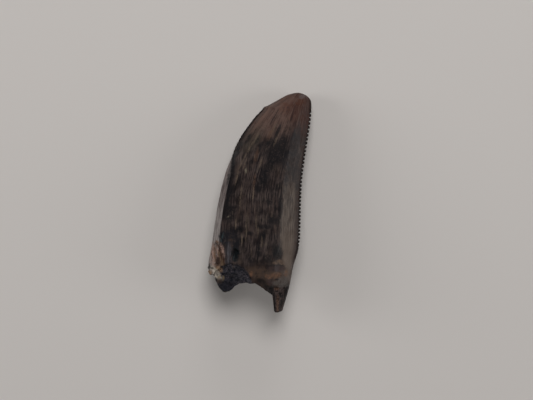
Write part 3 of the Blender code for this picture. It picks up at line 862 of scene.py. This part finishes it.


# Stains of the upper side in the order of painting, with painted highlights, painted shade, painted
# shadow
# and painted sheen among them: name, colour, strength, softness of the border, share of it that
# breaks up into streaks, and ovals as Finish.marks takes them. The first ones lie under the bevel
# and the pale strip of painted reflection.
STAINS_UNDER = 3
STAINS = (
    ("olive front", (64, 58, 50), 0.6, 0.7, 0.3, ((-0.93, 8.7, 0.9, 1.9, 35),)),
    ("pink below tip", (102, 82, 74), 0.65, 0.8, 0.8,
     ((1.6, 11.7, 1.2, 2.6, 44), (2.9, 10.2, 0.8, 1.5, 20))),
    ("red tip", (60, 33, 27), 0.75, 0.7, 0.5,
     ((5.6, 13.0, 1.6, 1.6), (5.85, 10.9, 0.75, 2.0, -4))),
    ("rust tip", (84, 53, 40), 0.65, 0.8, 0.4,
     ((4.3, 14.05, 1.7, 0.42, 20), (5.6, 13.7, 0.5, 0.4), (3.6, 13.2, 0.7, 0.9, 30))),
    # Worn tip facet, lightened by a painted highlight.
    ("worn tip and painted highlight", (104, 94, 93), 0.65, 0.8, 0.0, ((5.78, 14.45, 0.32, 0.22, -20),)),
    ("black patch", (18, 17, 20), 0.95, 0.6, 0.25,
     ((2.4, 6.6, 1.25, 1.55, 15), (0.7, 3.6, 0.52, 1.6, 22), (3.1, 8.1, 0.5, 0.9, 10),
      (2.45, 9.6, 0.18, 1.1, 22), (1.1, 7.9, 0.35, 0.8, 30), (-0.1, 7.3, 0.3, 0.8, 28),
      (-2.95, 7.0, 0.28, 1.0, 30), (-3.95, 3.6, 0.4, 1.7, 12), (-4.2, 1.0, 0.3, 1.3, 5),
      (1.55, 5.3, 0.4, 0.5), (-1.55, 8.6, 0.22, 0.8, 34))),
    ("blue darks", (32, 32, 37), 0.75, 0.9, 0.7,
     ((4.6, 7.2, 0.45, 2.5, 5), (3.7, 4.4, 0.4, 1.6), (5.3, 9.3, 0.28, 1.2))),
    ("black blotches", (20, 19, 22), 0.9, 0.6, 0.3,
     ((1.26, 0.0, 0.4, 0.4), (1.8, -2.4, 0.7, 0.62), (-0.18, -6.6, 0.26, 0.95),
      (1.05, -7.67, 0.45, 0.52), (2.4, -7.0, 0.55, 0.78), (-4.1, -2.1, 0.55, 0.6),
      (2.9, -0.1, 0.25, 0.8), (-0.3, 1.7, 0.3, 0.5), (0.4, -4.6, 0.35, 0.6),
      (-3.0, -3.7, 0.8, 0.35), (0.6, -3.4, 0.9, 0.28), (-3.8, -1.0, 0.45, 0.5),
      (-1.4, -4.3, 0.5, 0.25), (-1.2, -7.9, 0.4, 0.35))),
    ("tan streaks", (104, 90, 76), 0.7, 0.9, 0.7,
     ((-2.3, 5.62, 0.09, 0.95, 25), (-1.95, 5.3, 0.07, 0.6, 22), (-3.12, 3.36, 0.08, 0.8, 12),
      (-2.58, 0.62, 0.08, 1.3, 5), (-0.93, 1.03, 0.08, 0.7, 3), (-1.78, -3.36, 0.08, 1.4, 2),
      (-1.14, -6.99, 0.07, 0.5), (-0.8, 8.2, 0.1, 0.9, 32), (1.9, 9.9, 0.1, 0.7, 26),
      (2.22, 8.4, 0.09, 0.6, 20), (-2.44, -5.1, 0.06, 0.6), (0.31, -5.4, 0.07, 0.6),
      (-0.45, -2.6, 0.08, 0.8), (-1.6, 6.9, 0.07, 0.6, 28), (0.1, 5.2, 0.1, 0.6, 15),
      (-3.2, -2.9, 0.08, 0.6, 3), (-0.2, -4.1, 0.06, 0.5))),
    ("rust streaks", (92, 68, 54), 0.6, 0.8, 0.5,
     ((-0.45, 6.3, 0.18, 0.85, 12), (-0.73, 2.67, 0.13, 0.9, 5), (-3.97, -5.18, 0.18, 0.14),
      (1.5, 9.3, 0.2, 0.8, 25))),
    ("brown by the pit", (72, 60, 53), 0.6, 0.8, 0.5, ((-2.66, -7.85, 0.28, 0.5),)),
    ("cream spots", (120, 112, 95), 0.75, 0.8, 0.0,
     ((-1.89, 4.18, 0.13, 0.26), (-3.19, -6.3, 0.1, 0.07), (-4.3, -2.05, 0.06, 0.08))),
    ("brown base", (47, 36, 31), 0.9, 0.45, 0.2, ((1.2, -10.4, 3.3, 2.1), (2.6, -9.4, 1.1, 1.2))),
    ("tan base", (80, 64, 54), 0.7, 0.9, 0.0, ((0.1, -9.6, 1.9, 0.6), (2.3, -10.2, 1.5, 0.9))),
    ("cream mottles", (108, 88, 73), 0.8, 0.9, 0.0,
     ((2.15, -8.3, 0.28, 0.17), (2.62, -8.1, 0.34, 0.17), (2.95, -8.38, 0.22, 0.13))),
    ("dark crack", (26, 20, 21), 0.8, 0.6, 0.0,
     ((2.0, -8.66, 1.1, 0.12), (0.97, -8.82, 0.24, 0.3))),
    ("plum band", (56, 42, 43), 0.8, 0.7, 0.0,
     ((2.3, -9.05, 0.95, 0.34), (1.5, -10.9, 0.5, 0.3, 20))),
    ("orange base", (110, 80, 62), 0.8, 0.95, 0.0,
     ((-1.12, -9.74, 0.15, 0.26), (1.26, -10.14, 0.38, 0.24), (2.24, -9.96, 0.54, 0.28),
      (3.64, -9.79, 0.22, 0.34))),
    ("grey base", (86, 79, 75), 0.85, 0.9, 0.0,
     ((3.35, -10.9, 0.7, 0.6), (2.35, -11.0, 0.5, 0.24))),
    # Dark patches of the base, with painted shadow along the lower edge of the break.
    ("dark base and painted shadow", (20, 16, 17), 0.85, 0.6, 0.0,
     ((0.3, -10.75, 0.6, 0.3, 22), (2.38, -10.5, 0.24, 0.11), (1.25, -11.85, 0.32, 0.85, -42))),
    # Beige strip by the rear outline, with painted sheen above it.
    ("beige rear and painted sheen", (96, 84, 76), 0.7, 0.7, 0.3, ((4.14, -9.93, 0.3, 1.3), (4.1, -8.2, 0.4, 1.2))),
    ("blue black", (17, 20, 25), 0.95, 0.45, 0.1,
     ((-5.0, -4.65, 0.5, 0.55), (-5.0, -5.4, 0.45, 0.6, -8), (-4.58, -5.75, 0.3, 0.55))),
    ("dark shoulder", (26, 26, 31), 0.92, 0.6, 0.2,
     ((-4.05, -4.75, 1.05, 0.75), (-3.2, -5.6, 0.5, 0.85))),
    # Painted teal highlights on the glossy blue-black patch.
    ("painted teal highlight", (56, 68, 70), 0.7, 0.9, 0.0,
     ((-4.98, -4.6, 0.08, 0.3, 8), (-5.2, -5.3, 0.1, 0.14))),
    ("grey shoulder", (56, 54, 58), 0.85, 0.6, 0.5, ((-4.2, -7.2, 0.46, 1.5),)),
    ("pale shoulder", (94, 92, 96), 0.75, 0.8, 0.7,
     ((-4.22, -7.1, 0.1, 1.1), (-3.95, -6.9, 0.07, 0.7))),
    ("rust spot", (66, 54, 48), 0.6, 0.8, 0.0,
     ((-4.0, -5.18, 0.22, 0.12), (-2.8, -8.1, 0.14, 0.28))),
    # Painted shade: the modelled pit coloured near black.
    ("pit", (25, 29, 32), 0.97, 0.3, 0.0, (PIT,)),
    # Painted highlight specks in the pit.
    ("painted pit highlight", (62, 68, 70), 0.6, 0.8, 0.0,
     ((-3.08, -6.45, 0.14, 0.1), (-3.5, -7.5, 0.07, 0.3, 8))),
    # Pinkish flank, lightened as painted reflection like the pale strip above it.
    ("pink flank painted reflection", (146, 124, 114), 0.75, 0.7, 0.3, ((-6.45, -7.5, 0.36, 1.7, -3),)),
    ("scar", (98, 78, 68), 0.95, 0.22, 0.25, (SPALL, (-5.8, -5.45, 0.2, 0.24))),
    ("scar pink", (150, 124, 113), 0.8, 0.6, 0.0,
     ((-5.05, -6.55, 0.2, 0.75, -16), (-6.35, -7.2, 0.16, 1.3, -3), (-5.72, -6.8, 0.08, 0.6, -6))),
    ("scar orange", (104, 79, 63), 0.65, 0.8, 0.0,
     ((-6.12, -7.4, 0.12, 1.2, -4), (-5.66, -9.22, 0.34, 0.42), (-5.8, -5.45, 0.15, 0.16))),
    ("scar tan", (96, 78, 60), 0.8, 0.7, 0.0,
     ((-5.02, -8.45, 0.22, 0.6, 6), (-5.35, -7.3, 0.16, 0.5, -10))),
    ("scar brown", (52, 30, 24), 0.92, 0.5, 0.0,
     ((-5.48, -6.45, 0.09, 0.55, -20), (-5.22, -7.35, 0.1, 0.55, -12),
      (-4.86, -8.0, 0.09, 0.6, -4), (-6.52, -7.6, 0.05, 1.2, -3))),
    # Painted shade in the scar's hollow.
    ("scar hollow painted shade", (44, 31, 29), 0.9, 0.6, 0.0, ((-5.7, -8.1, 0.26, 0.48),)),
)
CHIP_STAINS = (
    ("chip orange", (126, 102, 82), 0.9, 0.6, 0.0, ((-5.5, -9.2, 0.42, 0.34),)),
    ("chip cream", (160, 150, 138), 0.95, 0.6, 0.0, ((-5.98, -9.72, 0.4, 1.0, -40),)),
    ("chip cream top", (178, 168, 156), 0.9, 0.7, 0.0, ((-6.0, -9.66, 0.3, 0.8, -40),)),
    ("chip brown", (82, 68, 60), 0.85, 0.6, 0.0, ((-5.45, -10.75, 0.36, 0.34),)),
    ("chip pale line", (72, 64, 60), 0.8, 0.6, 0.0, ((-3.54, -8.65, 0.12, 0.4),)),
    # Painted yellow highlights on the broken shards.
    ("chip gold painted highlight", (124, 108, 84), 0.75, 0.8, 0.0,
     ((-5.44, -10.2, 0.24, 0.12, -20), (-4.9, -10.38, 0.09, 0.3))),
    ("chip dark", (14, 13, 15), 0.95, 0.5, 0.0,
     ((-6.9, -8.76, 0.26, 0.36), (-6.46, -9.04, 0.2, 0.13))),
    ("tan lump", (140, 112, 86), 0.85, 0.5, 0.0, ((-6.8, -9.62, 0.26, 0.3),)),
    ("foot", (15, 18, 26), 0.6, 0.7, 0.0, ((-4.55, -11.55, 0.95, 0.85),)),
    ("spur pale", (112, 84, 68), 0.75, 0.8, 0.0,
     ((2.28, -11.78, 0.28, 0.16), (2.42, -13.9, 0.13, 0.9))),
    # Dark sides of the spur, with painted shadow in the corner left of it along the break.
    ("spur dark and painted shadow", (16, 13, 14), 0.9, 0.6, 0.0,
     ((1.6, -11.9, 0.28, 0.6), (1.98, -13.5, 0.11, 1.2), (3.62, -12.3, 0.28, 1.0, 12),
      (2.75, -12.6, 0.1, 0.3), (2.95, -13.7, 0.1, 0.4))),
)
BLUE_BLACK = [stain[0] for stain in STAINS].index("blue black")
FOOT = [stain[0] for stain in CHIP_STAINS].index("foot")
# Layers of the dentine: middle x and z, half sizes, and turns of the pattern outwards.
DENTINE_CENTRE = (-1.25, 3.8)
DENTINE_RADII = (5.75, 3.75)
DENTINE_LAYERS = 60.0
# Denticles counted along the saw edge, from the growth map's share of the tooth's length.
SAW_START = float(distance_at_y(FIRST_DENTICLE_Y) / TOTAL_LENGTH)
SAW_END = float(distance_at_y(LAST_DENTICLE_Y) / TOTAL_LENGTH)


def denticle_slots(f):
    """0 on the denticles and 1 in the slots between them."""
    place = (f.share - SAW_START) * (1 / (SAW_END - SAW_START))
    root = (place * (4 * DENTICLE_SPREAD) + (1 - DENTICLE_SPREAD) ** 2).math("SQRT")
    count = (root - (1 - DENTICLE_SPREAD)) * (DENTICLES / (2 * DENTICLE_SPREAD))
    wave = (count * (2 * math.pi)).math("COSINE") * -0.5 + 0.5
    return wave * place.rise(0.0, 0.1) * place.rise(1.0, 0.97)


class Enamel(Finish):
    """Finish with the noises that the enamel's colours share, and the mask of its upper side."""

    def __init__(self, name):
        super().__init__(name)
        self.ragged = self.warped_place(0.9, 0.24)
        self.broad = self.noise(self.place, 0.30, 3.0)
        self.patches = self.noise(self.place, 0.85, 4.0, 0.6)
        self.grain = self.noise(self.place, 2.2, 4.0, 0.65)
        self.specks = self.noise(self.place, 5.5, 2.0, 0.6)
        self.mottle = self.growth_noise(44, 0.75, 4.0, 0.65)
        self.bands = self.growth_noise(34, 0.20, 3.0, 0.55)
        self.lines = self.growth_noise(190, 0.50, 3.0, 0.6)
        self.fine_lines = self.growth_noise(330, 0.80, 2.0, 0.5)
        self.streaks = 0.6 * self.lines + 0.4 * self.fine_lines
        self.patchy = (0.6 * self.grain + 0.4 * self.specks).rise(0.39, 0.53) * 0.7 + 0.3
        border = self.turn + 0.10 * (self.mottle - 0.5)
        self.upper = border.rise(0.535, 0.485) * self.turn.rise(0.0, 0.02)

    def paint(self, colour, stains):
        for _, tint, strength, border, streaky, ovals in stains:
            texture = (self.streaks.rise(0.38, 0.60) * streaky + (1 - streaky)) * self.patchy
            share = self.marks(self.ragged, ovals, border) * texture * strength * self.upper
            colour = self.blend(colour, srgb(*tint), share)
        return colour


def ground_colour(f):
    """Dark enamel with streaks along the growth."""
    depth = 0.55 * f.streaks + 0.25 * f.patches + 0.20 * f.mottle
    brown = f.broad.rise(0.45, 0.60) * f.lines.rise(0.4, 0.6)
    black = (0.6 * f.bands + 0.4 * f.patches).rise(0.47, 0.37)
    flecks = f.streaks.rise(0.55, 0.66) * f.mottle.rise(0.45, 0.60)
    dark_lines = f.growth_noise(230, 0.30, 2.0, 0.5).rise(0.42, 0.32)
    colour = f.blend(*ENAMEL_TINTS, depth.rise(0.42, 0.61))
    colour = f.blend(colour, ENAMEL_BROWN, brown * 0.5)
    colour = f.blend(colour, ENAMEL_BLACK, black * 0.7)
    colour = f.blend(colour, FLECK_TINT, flecks * 0.5)
    return f.blend(colour, DARK_LINE_TINT, dark_lines * 0.5)


def add_tip(f, colour):
    """Red-brown upper end, with a wavering border."""
    tip = f.blend(*TIP_TINTS, f.growth_noise(70, 0.30, 3.0, 0.6).rise(0.40, 0.58))
    tip = f.blend(tip, TIP_RED, f.streaks.rise(0.45, 0.60) * 0.6)
    near_tip = (f.y + 5.0 * (f.bands - 0.5)).rise(7.5, 12.0)
    return f.blend(colour, tip, near_tip * 0.85)


def add_facet(f, colour):
    """Grey-brown bevel beside the rear edge, lighter with painted sheen lower down and beige with
    painted sheen further down.
    """
    streaks = f.streaks.rise(0.40, 0.60)
    facet = f.blend(*FACET_TINTS, streaks)
    sheen = f.blend(*FACET_PAINTED_SHEEN_TINTS, streaks)
    # Painted sheen on the lower part of the bevel.
    facet = f.blend(facet, sheen, f.y.rise(4.5, 1.0) * f.turn.rise(0.05, 0.08))
    # Beige tone with painted sheen further down the bevel.
    beige = f.y.rise(-2.5, -6.5) * f.turn.rise(0.035, 0.06)
    facet = f.blend(facet, FACET_BEIGE_SHEEN, beige * 0.8)
    brown = f.turn.rise(0.085, 0.045) * f.y.rise(-9.0, -6.0)
    facet = f.blend(facet, FACET_BROWN, brown * 0.75)
    black = f.patches.rise(0.50, 0.40) * f.y.rise(-3.0, 3.0)
    facet = f.blend(facet, FACET_BLACK, black * 0.7)
    border = f.turn + f.y.rise(-4.5, -9.0) * 0.045 + 0.05 * (f.mottle - 0.5)
    top = (f.y + 5.0 * (f.bands - 0.5)).rise(10.5, 5.5)
    share = border.rise(0.162, 0.144) * f.turn.rise(0.0, 0.02) * top * f.y.rise(-12.0, -9.0)
    return f.blend(colour, facet, share * 0.85)


def add_reflection_strip(f, colour):
    """Pale strip of painted reflection in front of the carina, lighter lower down, and the dark
    line along the carina.
    """
    # Painted reflection, brighter lower down.
    low = f.blend(*STRIP_LOW_REFLECTION_TINTS, f.streaks.rise(0.38, 0.56))
    high = f.blend(*STRIP_HIGH_REFLECTION_TINTS, f.streaks.rise(0.38, 0.58))
    strip = f.blend(high, low, f.y.rise(1.0, -1.5))
    border = (f.turn + 0.30 * (f.bands - 0.5)).rise(0.54, 0.47)
    share = f.turn.rise(0.400, 0.412) * border * f.y.rise(7.5, 4.0) * f.y.rise(-9.8, -8.5)
    colour = f.blend(colour, strip, share * 0.9)
    carina = f.turn.rise(0.370, 0.394) * f.turn.rise(0.412, 0.400)
    carina = carina * f.y.rise(-4.5, -1.0) * f.y.rise(13.0, 10.0)
    return f.blend(colour, CARINA_TINT, carina * (f.mottle.rise(0.40, 0.58) * 0.6 + 0.25))


def add_rear_edge(f, colour):
    """Dark saw edge, darker in its slots."""
    edge = f.turn.rise(0.034, 0.012).highest(f.turn.rise(0.980, 0.994))
    colour = f.blend(colour, SAW_TINT, edge * f.y.rise(-8.5, -6.5) * 0.85)
    return f.blend(colour, SLOT_TINT, edge * denticle_slots(f) * 0.85)


def chip_colour(f):
    """Blue-grey grain of the worn front corner of the base."""
    chip = f.blend(*CHIP_TINTS, (0.5 * f.grain + 0.5 * f.specks).rise(0.40, 0.60))
    pink = f.specks.rise(0.58, 0.68) * f.patches.rise(0.48, 0.56)
    chip = f.blend(chip, CHIP_PINK, pink * 0.6)
    return f.blend(chip, CHIP_BLACK, f.patches.rise(0.52, 0.42) * 0.25)


def enamel_finish():
    """Dark enamel with lengthwise streaks, stained at both ends and scarred near the base, with
    painted sheen, painted reflection, painted highlights and painted shade among its colours.
    """
    f = Enamel("fossil enamel")
    colour = add_tip(f, ground_colour(f))
    colour = f.paint(colour, STAINS[:STAINS_UNDER])
    colour = add_reflection_strip(f, add_facet(f, colour))
    colour = f.paint(colour, STAINS[STAINS_UNDER:])
    colour = add_rear_edge(f, colour)
    # Painted shade: a dark rim along the front outline near the tip, which is also made rough.
    front_rim_shade = f.turn.rise(0.352, 0.388) * f.turn.rise(0.47, 0.41)
    front_rim_shade = front_rim_shade * f.y.rise(6.5, 9.0) * f.y.rise(15.0, 12.5)
    colour = f.blend(colour, FRONT_RIM_SHADE_TINT, front_rim_shade * 0.9)

    chip = f.marks(f.ragged, ((*CHIP_CENTRE, *CHIP_RADII),), 0.05) * f.upper
    colour = f.blend(colour, chip_colour(f), chip * 0.97)
    root = (f.y + 0.4 * (f.grain - 0.5)).rise(ROOT_TOP_Y + 0.05, ROOT_TOP_Y - 0.12)
    root = root * f.x.rise(0.9, 1.5)
    root_colour = f.blend(*ROOT_TINTS, (0.45 * f.grain + 0.55 * f.specks).rise(0.42, 0.60))
    colour = f.blend(colour, root_colour, root * 0.95)
    colour = f.paint(colour, CHIP_STAINS)
    colour = f.blend(colour, BLACK, AGE_SHADE)

    scar = f.marks(f.ragged, (SPALL, PIT), 0.2) * f.upper
    worn = chip.highest(root).highest(scar)
    smooth_spots = STAINS[BLUE_BLACK][5] + CHIP_STAINS[FOOT][5]
    gloss = f.marks(f.ragged, smooth_spots, 0.3) * f.upper
    roughness = 0.42 + 0.14 * f.lines + 0.30 * worn - 0.10 * gloss
    roughness = roughness + 0.25 * f.patches.rise(0.48, 0.60) + 0.5 * front_rim_shade
    height = 0.45 * f.fine_lines + 0.35 * f.lines + 0.5 * f.grain * (0.12 + worn)
    return f.finish(colour, roughness, height, ENAMEL_BUMP)


def broken_finish():
    """Dentine of the broken base, in layers round the pulp cavity, with the enamel's dark rim."""
    f = Finish("broken dentine")
    grain = f.noise(f.place, 1.8, 5.0, 0.68)
    blotches = f.noise(f.place, 0.55, 3.0)
    squeezed = f.node("ShaderNodeCombineXYZ", inputs={
        "X": (f.x - DENTINE_CENTRE[0]) * (1 / DENTINE_RADII[0]),
        "Y": (f.z - DENTINE_CENTRE[1]) * (1 / DENTINE_RADII[1]),
    })
    out = f.vector_math("LENGTH", {0: squeezed}, "Value")
    out = out + 0.10 * (blotches - 0.5) + 0.03 * (grain - 0.5)
    layers = (out * DENTINE_LAYERS).math("SINE") * 0.5 + 0.5
    colour = f.blend(*DENTINE_TINTS, grain.rise(0.38, 0.64))
    colour = f.blend(colour, DENTINE_LAYER_TINT, layers * blotches.rise(0.42, 0.58) * 0.28)
    tan = grain.rise(0.60, 0.72) * blotches.rise(0.45, 0.6)
    colour = f.blend(colour, DENTINE_TAN, tan * 0.7)
    colour = f.blend(colour, ENAMEL_RIM_TINT, out.rise(0.90, 0.96) * 0.85)
    inside = f.y.rise(-10.8, -8.0)
    colour = f.blend(colour, CAVITY_TINT, inside * 0.75)
    return f.finish(colour, 0.60 + 0.28 * grain, 0.8 * grain + 0.2 * layers, DENTINE_BUMP)


def make_tooth():
    enamel = enamel_finish()
    dentine = broken_finish()
    crown = make_crown()
    cutters = (make_pulp_cavity(), make_base_break())
    for piece in (crown, *cutters):
        piece.data.materials.append(enamel)
        piece.data.materials.append(dentine)
    for cutter in cutters:
        faces = cutter.data.polygons
        faces.foreach_set("material_index", np.ones(len(faces), dtype=int))
        cut_away(crown, cutter)
    bpy.ops.object.shade_smooth()
    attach(crown, "root")
    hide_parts("tooth")
    return crown


def make_floor():
    bpy.ops.object.select_all(action="DESELECT")
    bpy.ops.mesh.primitive_plane_add(size=FLOOR_SIZE, location=(0, 0, 0))
    floor = bpy.context.object
    floor.name = "floor"
    paint = bpy.data.materials.new("pale floor")
    paint.use_nodes = True
    shader = paint.node_tree.nodes["Principled BSDF"]
    shader.inputs["Base Color"].default_value = FLOOR_TINT
    shader.inputs["Roughness"].default_value = FLOOR_ROUGHNESS
    floor.data.materials.append(paint)


def make_light(name, place, size, power, gleams):
    """A soft round lamp that points at the tooth. One that doesn't gleam adds no highlights."""
    data = bpy.data.lights.new(name, "AREA")
    data.shape = "DISK"
    data.size = size
    data.energy = power
    lamp = bpy.data.objects.new(name, data)
    lamp.location = place
    lamp.rotation_euler = Vector(place).to_track_quat("Z", "Y").to_euler()
    lamp.visible_glossy = gleams
    bpy.context.scene.collection.objects.link(lamp)


def make_lights():
    for lamp in LAMPS:
        make_light(*lamp)
    world = bpy.data.worlds.new("studio")
    world.use_nodes = True
    background = world.node_tree.nodes["Background"]
    background.inputs["Color"].default_value = WORLD_COLOUR
    background.inputs["Strength"].default_value = WORLD_STRENGTH
    bpy.context.scene.world = world


def make_camera():
    """Looks straight down, with the tooth at its place in the reference picture."""
    data = bpy.data.cameras.new("camera")
    data.lens = LENS
    data.sensor_width = SENSOR
    data.clip_start = NEAREST_SEEN
    camera = bpy.data.objects.new("camera", data)
    width_mm = PICTURE_WIDTH / PIXELS_PER_MM
    x = (0.5 * PICTURE_WIDTH - MIDDLE_PIXEL[0]) / PIXELS_PER_MM
    y = (MIDDLE_PIXEL[1] - 0.5 * PICTURE_HEIGHT) / PIXELS_PER_MM
    z = FOCUS_HEIGHT + width_mm * LENS / SENSOR
    camera.location = (x * MM, y * MM, z * MM)
    bpy.context.scene.collection.objects.link(camera)
    bpy.context.scene.camera = camera


make_camera()
make_lights()
make_floor()
make_tooth()
bpy.context.scene.view_settings.view_transform = "Standard"
